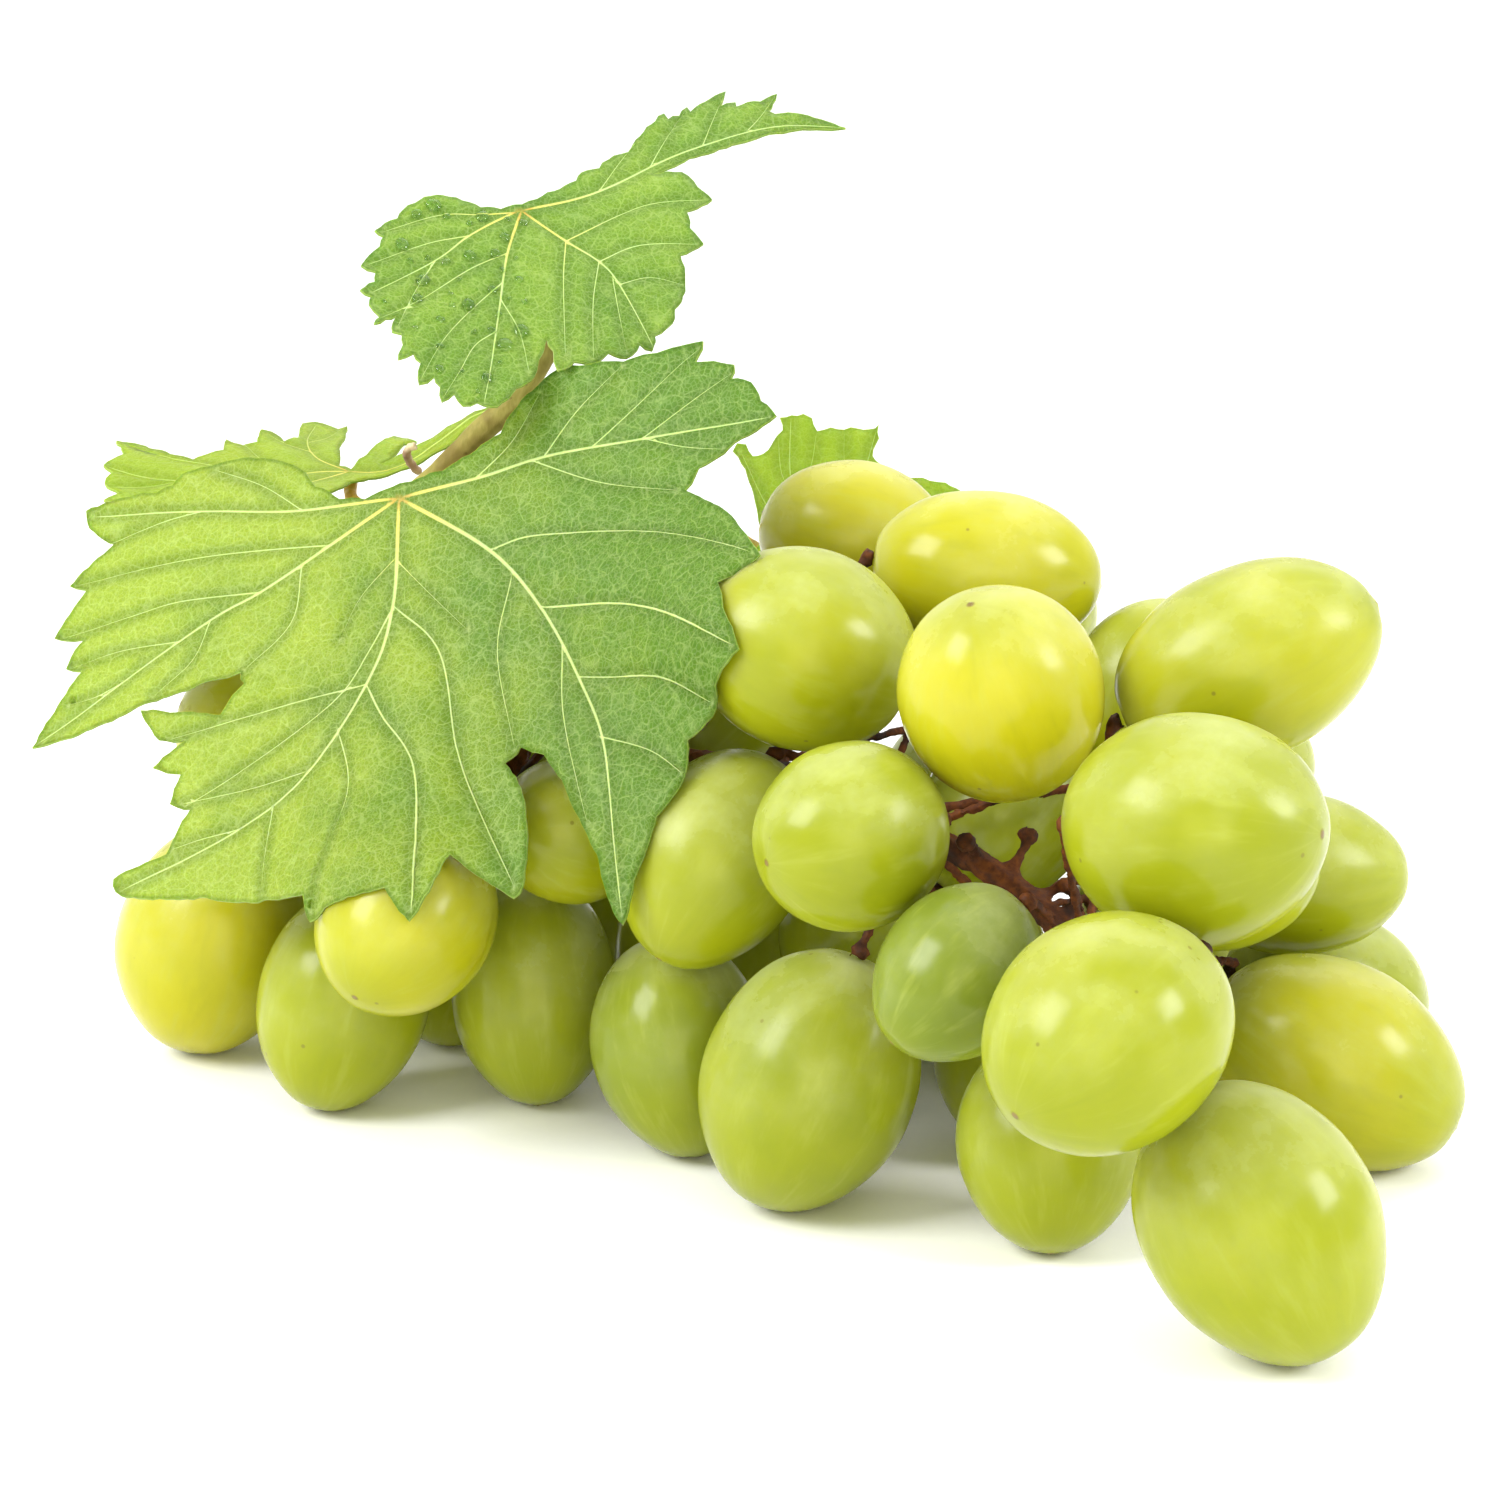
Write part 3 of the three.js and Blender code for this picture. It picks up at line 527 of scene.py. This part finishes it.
LEAVES = {
    "leaf_front": {
        "junction": (-41.47, -22.34, 64.9), "facing": (0.191, -0.832, 0.521), "young": False,
        "pale": -0.5,
        "outline": [
            (-37, 4.5), (-38.5, 4.2), (-38, 2), (-35, -0.2), (-40.5, -4.2), (-38.3, -5),
            (-42, -10.2), (-38.2, -10.8), (-40.3, -14), (-38, -14.6), (-43.5, -23),
            (-36.2, -21.7), (-29.7, -19.8), (-22, -18.4), (-17.8, -17.8), (-17.2, -19.3),
            (-20.1, -22.3), (-26, -21.4), (-29.8, -20.6), (-27.4, -24.3), (-24, -24.6),
            (-27.8, -27.5), (-24.5, -28.5), (-25.7, -31.7), (-23.2, -32.5), (-25.8, -37.3),
            (-31.6, -39.6), (-31.4, -41), (-30, -41.8), (-20.7, -42.7), (-15.5, -44),
            (-13, -44.2), (-7, -45), (-6, -48.1), (-4, -47), (3.5, -46.1), (6.4, -50),
            (7.6, -48.2), (9.2, -42.3), (15.6, -47.2), (16.6, -46), (16.8, -40.7),
            (15.6, -35), (13.6, -32), (15.2, -30.4), (18.1, -31.7), (20.3, -34.8),
            (24.7, -43.6), (26, -48.7), (27.3, -51), (28.6, -46.6), (31.3, -40.4),
            (33.8, -37.3), (34.5, -32.6), (37.6, -30.8), (38.6, -28.2), (42.2, -25.8),
            (40.6, -21.2), (39.6, -18), (43.7, -15.2), (39.2, -8.9), (33.4, -4.6),
            (34.8, -2.2), (38.8, 0), (43.5, 2.2), (41.8, 4.2), (40.8, 6.4), (38.4, 7.2),
            (38.8, 8.8), (34.4, 9.8), (35.2, 12.2), (30.1, 11.6), (26.2, 11.4), (22, 11.6),
            (18.6, 11.8), (16.2, 10.4), (13.2, 7.8), (11.8, 5.6), (8.4, 3.6), (5.2, 2.2),
            (1.6, 1.6), (-1.4, 1.2), (-4, 0.4), (-7, 0.8), (-9.9, 2.6), (-11.8, 5),
            (-15, 6.6), (-19.5, 7.4), (-25.6, 6.8), (-27.5, 5.4), (-29.5, 4.8), (-33, 5)],
        "ribs": [
            (1.0, [(0, 0), (-0.2, -12.5), (-2.9, -21), (-12, -32.6), (-30.8, -41)]),
            (0.9, [(0, 0), (-8, -4.4), (-16.2, -8.6), (-22.2, -11), (-34, -17.6), (-43, -22.6)]),
            (0.8, [(-0.3, 0), (-11.5, 0.2), (-24, 2), (-37.6, 3.4)]),
            (1.0, [(0, 0), (10.9, -7.7), (17, -15), (21.6, -23.5), (25.2, -33), (27.2, -50)]),
            (0.9, [(0.3, 0), (9, 0.8), (17, 2), (28.3, 2.2), (42.8, 2.2)]),
            (0.5, [(-0.1, -12.5), (-2.8, -17.3), (-7, -22.6), (-17.3, -28.8), (-24, -32.2)]),
            (0.5, [(-0.1, -12.5), (5.4, -18.4), (8, -29.5), (11, -37), (15.6, -46)]),
            (0.45, [(-2.9, -21), (-10.7, -21.8), (-16.4, -22.8), (-26.5, -24.4)]),
            (0.5, [(-2.9, -21), (-0.5, -25.2), (3.5, -31), (5.4, -40), (6.6, -49)]),
            (0.4, [(-9.4, -30), (-16, -31), (-24.4, -31.8)]),
            (0.4, [(-6, -25.6), (-3.6, -33), (-4.6, -40), (-6, -47)]),
            (0.35, [(-17, -35.4), (-21.6, -36), (-25.2, -36.8)]),
            (0.35, [(-13.2, -33.4), (-13.4, -38.5), (-13.2, -43.6)]),
            (0.5, [(10.9, -7.7), (17, -7), (31, -9.4), (42.8, -14.8)]),
            (0.5, [(17, -15), (29.4, -17.6), (41.6, -25.2)]),
            (0.4, [(21.6, -23.5), (31, -25.3), (37.8, -29.4)]),
            (0.4, [(24.2, -30.5), (30, -32.9), (33.8, -36)]),
            (0.4, [(13.6, -10.8), (12.2, -19.4), (14.6, -30.6)]),
            (0.4, [(19.6, -19.5), (20.2, -28.3), (23.4, -40)]),
            (0.45, [(9, 0.8), (13.2, 4.6), (16.4, 9.6)]),
            (0.45, [(17, 2), (21, 6.8), (26, 11)]),
            (0.4, [(22.6, 2.2), (28.3, 6.4), (34.8, 11.4)]),
            (0.35, [(28.3, 2.2), (34, 5.4), (38.4, 7.8)]),
            (0.4, [(15.6, 1.8), (23.7, -2), (32.4, -4.4)]),
            (0.35, [(28.6, 2.2), (33, 0.6), (37.6, -0.4)]),
            (0.45, [(-7.8, -4.4), (-17.6, -3.6), (-26.3, -3.4), (-39.8, -4.2)]),
            (0.45, [(-16.2, -8.6), (-26, -8.2), (-32.2, -9), (-41, -10.2)]),
            (0.4, [(-25.6, -13), (-33.2, -13), (-39.8, -14)]),
            (0.35, [(-32, -16.6), (-36, -18), (-39.4, -18.4)]),
            (0.4, [(-11.3, -6.2), (-12.2, -12.6), (-17.4, -17.6)]),
            (0.35, [(-22.2, -11), (-24, -15.6), (-28.6, -19.2)]),
            (0.35, [(-11.5, 0.2), (-16.6, 3.9), (-22.4, 6.6)]),
            (0.35, [(-24, 2), (-28.9, 1.4), (-36.2, -0.2)]),
            (0.3, [(-0.2, -7), (-4.2, -11), (-6.4, -15.5)]),
            (0.3, [(-0.2, -7), (4, -11.6), (8.6, -16.4)])],
    },
    "leaf_top": {
        "junction": (-40.67, -2.64, 93.5), "facing": (0.551, -0.374, 0.746), "young": False,
        "pale": 0.05,
        "outline": [
            (0, 0.9), (-2.3, -0.3), (-4.5, -0.6), (-6.5, 0), (-8, 0.3), (-10, 0), (-11.6, -1.2),
            (-12.9, -2.4), (-13.4, -3.6), (-15.7, -5.7), (-14.7, -6.4), (-15.1, -8.1),
            (-16.9, -10.9), (-15.3, -11.6), (-15.3, -13), (-16.8, -14.5), (-15.5, -15.1),
            (-15.8, -16.3), (-14.5, -17.7), (-15.1, -18.9), (-13.9, -17.9), (-12.8, -17.4),
            (-13.1, -19.6), (-12.1, -19.8), (-11.9, -21.3), (-12.3, -23.4), (-10.7, -22.3),
            (-9.9, -23.2), (-9.9, -26), (-8.4, -24.9), (-7.7, -26), (-7.4, -27.9),
            (-6.2, -26.8), (-5.2, -28.3), (-3.7, -27.6), (-1.6, -27.9), (0.3, -25.2),
            (1.9, -23.6), (2.6, -20.6), (3.3, -17.8), (4.1, -19.2), (4.6, -22), (6.4, -20.4),
            (8.4, -20.2), (10, -18.6), (12, -18.8), (13.4, -16.8), (14.8, -17.2), (15, -15.2),
            (16.9, -13.2), (17.1, -11.2), (18, -9), (18.3, -7.4), (17.6, -3.4), (20.2, -1.2),
            (18.6, 0.6), (18.2, 3), (21.1, 5.4), (19.4, 6.8), (17.6, 8.6), (14.4, 7.8),
            (18.5, 11.2), (21.9, 13.2), (27.6, 16.5), (31.4, 17.9), (36.4, 19), (31.2, 20),
            (28.2, 19.5), (27.5, 20), (28.5, 22.9), (26.5, 21.2), (23.8, 19.9), (23.7, 20.6),
            (21.9, 19.8), (22.6, 22.3), (20.2, 20.2), (18.6, 18.4), (18.2, 19.1),
            (17.3, 17.6), (16, 16.6), (15.5, 17.3), (14.5, 15.8), (12.9, 13.5), (11.6, 11),
            (9.4, 9.4), (8.4, 7.9), (6.4, 6.8), (5.9, 5.6), (4.1, 4), (1.6, 2)],
        "ribs": [
            (0.7, [(0, 0), (-1.3, -6.4), (-1.8, -13), (-2.4, -21.7), (-3, -27.6)]),
            (0.7, [(0, 0), (5, -3.4), (8.7, -5.7), (11, -8.6), (14.9, -16.8)]),
            (0.6, [(-0.6, -0.3), (-5.5, -4.7), (-9, -8.8), (-15.6, -14.6)]),
            (0.7, [(0, 0), (8.5, 4.6), (18.5, 12.4), (28, 17.6), (36, 19)]),
            (0.45, [(-0.6, -0.4), (-4.6, -1.6), (-9, -2.4), (-15, -5.8)]),
            (0.4, [(5, -3.4), (10.8, 1.4), (14.7, 3.8), (20.6, 5.3)]),
            (0.4, [(8.7, -5.7), (13.1, -2.6), (19.6, -1.3)]),
            (0.35, [(11, -8.6), (14.3, -7), (18, -7.2)]),
            (0.4, [(5, -3.4), (4.9, -9.4), (5.4, -19.6)]),
            (0.35, [(8.7, -5.7), (8.2, -11.7), (8.4, -19.6)]),
            (0.3, [(10.2, -7.6), (11, -12.6), (12, -18.2)]),
            (0.4, [(-1.3, -6.4), (-5.3, -9.4), (-10.4, -14.6), (-14.8, -18.2)]),
            (0.4, [(-1.6, -10.5), (-5, -15.2), (-7.6, -19.6), (-9.8, -25.4)]),
            (0.35, [(-2.1, -17.5), (-4.3, -19.9), (-5.7, -23.6), (-7.3, -27.4)]),
            (0.35, [(-1.8, -13), (0.4, -17.2), (1.6, -22.6)]),
            (0.35, [(-5.5, -4.7), (-10, -6.6), (-16.4, -10.8)]),
            (0.35, [(-9, -8.8), (-11, -13.6), (-12.6, -18.8)]),
            (0.3, [(8.5, 4.6), (10.4, 8.6), (12.6, 12.8)]),
            (0.3, [(14, 8.8), (15.6, 13), (18, 18.6)]),
            (0.3, [(20, 13.4), (21, 17), (22.4, 21.6)]),
            (0.3, [(25, 16.4), (26.6, 19), (28.2, 22.4)])],
    },
    "leaf_left": {
        "junction": (-62.97, -7.34, 63.2), "facing": (0.209, -0.087, 0.974), "young": True,
        "pale": 0.0,
        "outline": [
            (18.6, 4), (14.2, 3.4), (9.8, 3.8), (6.6, 3), (3.4, 1), (5.6, 6.6), (7, 7.2),
            (4.2, 9.6), (3, 7.4), (1.6, 3.2), (0.2, -0.4), (-1.2, 0.2), (-1.6, 4.3),
            (-1.4, 12.6), (-2.4, 11.6), (-3.4, 12), (-5.2, 12.8), (-6.6, 11.6), (-6.4, 6.8),
            (-8, 5.4), (-9.7, 7.6), (-10.9, 7.8), (-10.9, 4.2), (-12.8, 3), (-14.5, 4.4),
            (-14.4, 1), (-16.4, -0.4), (-17.5, -1.4), (-20.2, -0.2), (-22.8, 1.6), (-24.7, 3),
            (-26.8, 3), (-26, 1.6), (-25.4, -0.6), (-27.3, -3.2), (-26, -4.8), (-26.6, -7),
            (-24.6, -9.4), (-26, -11.6), (-22, -12.6), (-20.6, -14.6), (-16.4, -12.8),
            (-13.8, -14.2), (-10.6, -12), (-7, -12.4), (-5, -9.6), (-1.4, -8.6), (0.6, -4.4),
            (2.4, -3), (5, -1.6), (9, -0.8), (13, 0.4), (16, 1.6)],
        "ribs": [
            (0.6, [(0, -1), (-3.2, -2.1), (-9.4, -5.4), (-18.3, -6.6), (-26, -7.6)]),
            (0.6, [(0, -1), (-3.8, 1.6), (-5.4, 6), (-5, 12)]),
            (0.5, [(0, -1), (4.4, -0.2), (10, 1.6), (18, 3.8)]),
            (0.5, [(0, -1), (-3, -4.4), (-7, -8.2), (-13.6, -13.4)]),
            (0.35, [(-5, -3), (-9.6, -0.4), (-12, 3), (-14.2, 4)]),
            (0.35, [(-9.4, -5.4), (-14, -3), (-20, -1), (-25.6, 2.6)]),
            (0.35, [(-12, -6), (-17, -9.4), (-21, -13.8)]),
            (0.3, [(-18.3, -6.6), (-22, -5.2), (-27, -3.4)]),
            (0.3, [(-4.4, 3), (-8, 5), (-10.4, 7.4)]),
            (0.3, [(-5.2, 6), (-3.4, 8), (-1.9, 12)])],
    },
    "leaf_back": {
        "junction": (-26.17, 33.46, 50.0), "facing": (0.45, -0.62, 0.64), "young": True,
        "pale": 0.0,
        "outline": [
            (0, -1.6), (-3.6, -5), (-6.8, -5.6), (-8.8, -2.4), (-9.6, 0.6), (-7.4, 3),
            (-7.8, 6), (-8.2, 8.6), (-8.9, 11.2), (-9.8, 13.6), (-10.8, 15.2), (-10.3, 16.2),
            (-9.2, 16), (-8.4, 14.4), (-7.2, 14.6), (-5.6, 17), (-4.9, 17.7), (-5.2, 19.4),
            (-3.8, 19.8), (-2.4, 19.8), (-1.4, 19.2), (-0.8, 17.6), (0.8, 18), (3.2, 18.1),
            (5.4, 17.9), (6.5, 18.6), (6.5, 16.8), (5.7, 14.4), (7.4, 12.6), (9.6, 11.6),
            (11.6, 11.2), (14.2, 10.4), (16.8, 9.2), (15.2, 7.4), (13.6, 6), (12.8, 3),
            (13.6, 0.4), (10, -1.6), (6.6, -3.6), (3.2, -2.4)],
        "ribs": [
            (0.6, [(0, 0), (-2.6, 6), (-4, 12), (-3.9, 19.4)]),
            (0.6, [(0, 0), (2.6, 6.4), (4.6, 12), (6.2, 17.8)]),
            (0.5, [(0, 0), (5.4, 3.6), (11, 6.4), (16.2, 8.8)]),
            (0.5, [(0, 0), (-4, 3.6), (-7, 8.4), (-9.8, 15)]),
            (0.4, [(0, 0), (6, 0.4), (13, 0.6)]),
            (0.4, [(0, 0), (-4.4, -0.8), (-9, 0)]),
            (0.3, [(-3.4, 9), (-1.6, 13), (-0.9, 17.4)]),
            (0.3, [(3.6, 9.2), (2.4, 13.4), (2.4, 17.8)]),
            (0.3, [(7, 4.4), (8.8, 7.8), (10, 11)]),
            (0.3, [(-3.4, 9), (-5, 12), (-5.4, 16.6)])],
    },
}


def smooth_line(points, step):
    """An even, rounded line through the points, one point each step."""
    p = [Vector(q) for q in points]
    p = [2 * p[0] - p[1], *p, 2 * p[-1] - p[-2]]
    line = []
    for a, b, c, d in zip(p, p[1:], p[2:], p[3:]):
        parts = max(1, round((c - b).length / step))
        for i in range(parts):
            t = i / parts
            line.append(0.5 * ((2 * b) + (c - a) * t + (2 * a - 5 * b + 4 * c - d) * t * t
                               + (3 * b - a - 3 * c + d) * t ** 3))
    return [*line, p[-2]]


def distances(points, line):
    """How far each point is from a line, and how far along the line, 0 to 1."""
    line = np.array([tuple(q) for q in line])
    best, share = np.full(len(points), 1e9), np.zeros(len(points))
    for i, (a, b) in enumerate(zip(line, line[1:])):
        leg = b - a
        t = np.clip(((points - a) @ leg) / max(leg @ leg, 1e-12), 0, 1)
        far = np.linalg.norm(points - (a + t[:, None] * leg), axis=1)
        closer = far < best
        best[closer], share[closer] = far[closer], (i + t[closer]) / (len(line) - 1)
    return best, share


def rim_of(outline, seed):
    """The outline with its straight runs split and faintly ragged."""
    chance, rim = random.Random(seed), []
    for a, b in zip(outline, outline[1:] + outline[:1]):
        a, b = Vector(a), Vector(b)
        parts = max(1, round((b - a).length / RIM_STEP))
        side = Vector((-(b - a).y, (b - a).x)).normalized()
        for i in range(parts):
            off = chance.uniform(-0.09, 0.09) + 0.16 * math.sin(math.pi * i / parts)
            rim.append(a.lerp(b, i / parts) - side * (off if i else 0))
    return rim


def flat_blade(leaf, seed):
    """Points and triangles of the flat blade, with its ribs as edges."""
    rim = rim_of(leaf["outline"], seed)
    ribs = [(width * RIB_SHARE, smooth_line(points, RIB_STEP))
            for width, points in leaf["ribs"]]
    points, edges = list(rim), [(i, (i + 1) % len(rim)) for i in range(len(rim))]
    lattice = []
    lows = [min(p[k] for p in rim) for k in (0, 1)]
    highs = [max(p[k] for p in rim) for k in (0, 1)]
    chance, row, y = random.Random(seed + 1), 0, lows[1]
    while y < highs[1]:
        x = lows[0] + (BLADE_CELL / 2 if row % 2 else 0)
        while x < highs[0]:
            lattice.append((x + chance.uniform(-0.1, 0.1), y + chance.uniform(-0.1, 0.1)))
            x += BLADE_CELL
        y, row = y + BLADE_CELL * 0.87, row + 1
    lattice = np.array(lattice)
    free = distances(lattice, [*rim, rim[0]])[0] > 0.4
    for width, line in ribs:
        free &= distances(lattice, line)[0] > 0.32 + width / 2
    for width, line in ribs:
        start = len(points)
        points += line
        edges += [(start + i, start + i + 1) for i in range(len(line) - 1)]
        for i in range(1, len(line) - 1):
            ahead = (line[i + 1] - line[i - 1]).normalized()
            half = width / 2 * (1 - RIB_TAPER * i / len(line))
            points += [line[i] + Vector((-ahead.y, ahead.x)) * half * s for s in (-1, 1)]
    points += [Vector(q) for q in lattice[free]]
    found = geometry.delaunay_2d_cdt([Vector(p).to_2d() for p in points], edges, [], 1, 1e-4)
    flat = np.array([tuple(p) for p in found[0]])
    return flat, [tuple(f) for f in found[2]], rim, ribs


def stance(leaf):
    """Where a blade's foot is, and the ways its x, its y and its upper side point."""
    facing = Vector(leaf["facing"]).normalized()
    across = (LEVEL - facing * LEVEL.dot(facing)).normalized()
    return Vector(leaf["junction"]) * MM, across, facing.cross(across), facing


def tree_of(mesh):
    return bvhtree.BVHTree.FromPolygons([v.co for v in mesh.vertices],
                                        [tuple(p.vertices) for p in mesh.polygons])


def lay_over(leaf, node, flat, faces):
    """Heights of the flat points over the CAD blade's middle, smoothed along the faces."""
    foot, across, rise, facing = stance(leaf)
    tree = tree_of(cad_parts[node].data)
    heights, landed = np.zeros(len(flat)), np.zeros(len(flat), bool)
    for i, (x, y) in enumerate(flat):
        start = foot + (across * x + rise * y + facing * ABOVE) * MM
        hit = tree.ray_cast(start, -facing)[0]
        if hit is not None:
            heights[i] = (hit - foot).dot(facing) / MM - CAD_BLADE_THICKNESS / 2
            landed[i] = True
    for i in np.where(~landed)[0]:
        gap = np.where(landed, ((flat - flat[i]) ** 2).sum(1), 1e9)
        close = np.argsort(gap)[:6]
        heights[i] = heights[close].mean()
    ends = np.array([(f[i], f[(i + 1) % len(f)]) for f in faces for i in range(len(f))])
    count = np.bincount(ends.ravel(), minlength=len(flat))
    for _ in range(EVENING_ROUNDS):
        total = np.bincount(ends[:, 0], heights[ends[:, 1]], len(flat))
        total += np.bincount(ends[:, 1], heights[ends[:, 0]], len(flat))
        heights = 0.4 * heights + 0.6 * total / np.maximum(count, 1)
    return heights


def blade(node, seed):
    """A thin toothed blade with sunken ribs, quilted between them, laid where its node lies."""
    leaf = LEAVES[node]
    flat, faces, rim, ribs = flat_blade(leaf, seed)
    heights = lay_over(leaf, node, flat, faces)
    foot, across, rise, facing = stance(leaf)
    rib, near = np.zeros(len(flat)), np.full(len(flat), 9.0)
    for width, line in ribs:
        far, share = distances(flat, line)
        half = width / 2 * (1 - RIB_TAPER * share)
        fade = np.clip(np.minimum(share, 1 - share) * 14 + 0.3, 0, 1)
        rib = np.maximum(rib, np.clip(1 - far / half, 0, 1) * fade)
        near = np.minimum(near, far - half * 0.5)
    near = np.maximum(near, 0)
    margin = distances(flat, [*rim, rim[0]])[0]
    puff = 1 - np.exp(-near / 1.7)
    for i, (x, y) in enumerate(flat):
        swell = noise.noise(Vector((x, y, seed * 9.0)) / 4.5)
        ripple = noise.noise(Vector((x, y, seed * 5.0 + 3)) / 11.0)
        heights[i] += puff[i] * (0.42 + 0.3 * swell) + 0.5 * ripple * min(1, 3 / (margin[i] + 1))
    mesh = bpy.data.meshes.new(node + "_blade")
    places = [foot + (across * x + rise * y + facing * h) * MM
              for (x, y), h in zip(flat, heights)]
    mesh.from_pydata(places, [], faces)
    form = bpy.data.objects.new(node + "_blade", mesh)
    bpy.context.scene.collection.objects.link(form)
    for name, values in (("rib", rib), ("near", near), ("rim", margin),
                         ("reach", np.linalg.norm(flat, axis=1)),
                         ("pale", leaf["pale"] * flat[:, 0] / 40)):
        give(form, name, values)
    chart = mesh.uv_layers.new(name="flat")
    for loop in mesh.loops:
        x, y = flat[loop.vertex_index]
        chart.data[loop.index].uv = (x / 100 + 0.5, y / 100 + 0.5)
    hold(form)
    edit()
    bpy.ops.mesh.select_all(action="SELECT")
    bpy.ops.mesh.normals_make_consistent(inside=False)
    edit(False)
    if sum(p.normal.dot(facing) * p.area for p in mesh.polygons) < 0:
        mesh.flip_normals()
    top = FRESH_TOP if node == "leaf_top" else BLADE_TOP
    mesh.materials.append(YOUNG_TOP if leaf["young"] else top)
    mesh.materials.append(YOUNG_UNDER if leaf["young"] else BLADE_UNDER)
    apply_modifier(form, "SOLIDIFY", thickness=BLADE_THICKNESS * MM, offset=0,
                   material_offset=1, material_offset_rim=1)
    bpy.ops.object.shade_smooth()
    return settle(form, node + "_blade", "leaf", None, node)


def dew(form, leaf, seed):
    """Water drops standing on the left half of a finished blade, joined into one piece."""
    deselect()
    bpy.ops.mesh.primitive_uv_sphere_add(segments=12, ring_count=8, radius=1.0 * MM)
    model = bpy.context.active_object
    bpy.ops.object.shade_smooth()
    foot, across, rise, facing = stance(leaf)
    tree = tree_of(form.data)
    rim = [*leaf["outline"], leaf["outline"][0]]
    chance, drops, spots = random.Random(seed), [], []
    while len(drops) < DROP_COUNT:
        spot = np.array((chance.uniform(-16, 1), chance.uniform(-27, -1)))
        start = foot + (across * spot[0] + rise * spot[1] + facing * ABOVE) * MM
        place, normal = tree.ray_cast(start, -facing)[:2]
        crowded = any(np.linalg.norm(spot - other) < DROP_ROOM for other in spots)
        if place is None or crowded or distances(spot[None], rim)[0][0] < DROP_TO_RIM:
            continue
        size = 0.28 + 0.7 * chance.random() ** 2
        turn = Vector((0, 0, 1)).rotation_difference(normal).to_matrix().to_4x4()
        spin = Matrix.Rotation(chance.uniform(0, math.tau), 4, "Z")
        shape = Matrix.Diagonal((size, size * chance.uniform(0.7, 1.1), size * 0.42, 1))
        drop = copy_of(model)
        drop.matrix_world = (Matrix.Translation(place + normal * 0.1 * size * MM)
                             @ turn @ spin @ shape)
        drops.append(drop)
        spots.append(spot)
    bpy.data.objects.remove(model)
    hold(*drops)
    bpy.ops.object.join()
    bpy.ops.object.transform_apply(location=True, rotation=True, scale=True)
    return settle(drops[0], "dew_drops", "leaf", WATER)


# ------------------------------------------------------------------ build
stalk_ends = berries()
stem(stalk_ends)
woody("cane", "cane_wood", "cane", CANE_BARK, 0.2, 2.2)
woody("tendril", "tendril_curl", "tendril", DRY, 0.35, 0.9, 0.14)
for side in ("front", "left", "top", "back"):
    woody("petiole_" + side, "leaf_stalk_" + side, "petiole", STALK_SKIN, 0.25, 1.6, 0.16)
blades = {node: blade(node, 11 + 7 * order) for order, node in enumerate(LEAVES)}
dew(blades["leaf_top"], LEAVES["leaf_top"], 5)

# ------------------------------------------------------------------ floor, light, camera
deselect()
bpy.ops.mesh.primitive_plane_add(size=9)
floor = bpy.context.active_object
floor.name = "floor"
paper = Finish("matt_white_paper")
tooth = paper.noise(paper.place(), 900.0, 3.0)
floor.data.materials.append(paper.finish(
    Base_Color=paper.mix(tooth, (0.9, 0.9, 0.9), (0.93, 0.93, 0.93)), Roughness=0.8,
    Normal=paper.bump(tooth, 0.05, 0.1 * MM), Specular_IOR_Level=0.2))

world = bpy.data.worlds.new("white_studio")
bpy.context.scene.world = world
world.use_nodes = True
world.node_tree.nodes["Background"].inputs[0].default_value = (1.0, 1.0, 1.0, 1.0)
world.node_tree.nodes["Background"].inputs[1].default_value = 1.12

MIDDLE = Vector((-9.2, -2.5, 38)) * MM     # what the camera looks at
BEARING, HEIGHT, DISTANCE = 38, 15, 0.42   # of the camera: degrees, degrees, metres


def out_from(bearing, height, distance):
    """A place that far out from the middle, bearing and height in degrees."""
    bearing, height = math.radians(bearing), math.radians(height)
    return MIDDLE + distance * Vector((math.sin(bearing) * math.cos(height),
                                       -math.cos(bearing) * math.cos(height),
                                       math.sin(height)))


def aim(thing, bearing, height, distance):
    """Puts a light or the camera in its place, looking at the middle."""
    thing.location = out_from(BEARING + bearing, height, distance)
    thing.rotation_euler = (MIDDLE - thing.location).to_track_quat("-Z", "Y").to_euler()
    bpy.context.scene.collection.objects.link(thing)


def softbox(name, bearing, height, distance, size, power, tint=(1.0, 1.0, 1.0)):
    """A square soft light aimed at the bunch; its bearing is counted from the camera's."""
    lamp = bpy.data.lights.new(name, "AREA")
    lamp.color = tint
    lamp.shape, lamp.size, lamp.energy = "SQUARE", size, power
    holder = bpy.data.objects.new(name, lamp)
    aim(holder, bearing, height, distance)


softbox("window_left", -62, 38, 0.8, 0.38, 6.2)
softbox("window_right", 66, 30, 0.8, 0.26, 3.6)
softbox("bounce", 0, 12, 0.7, 0.4, 2.0, (1.0, 0.95, 0.35))
lamp = bpy.data.lights.new("skylight", "SUN")
lamp.energy, lamp.angle = 0.9, math.radians(60)
aim(bpy.data.objects.new("skylight", lamp), 160, 55, 1.0)

eye = bpy.data.objects.new("camera", bpy.data.cameras.new("camera"))
eye.data.lens, eye.data.sensor_width = 93.6, 36
aim(eye, 0, HEIGHT, DISTANCE)
bpy.context.scene.camera = eye
bpy.context.scene.view_settings.view_transform = "Standard"
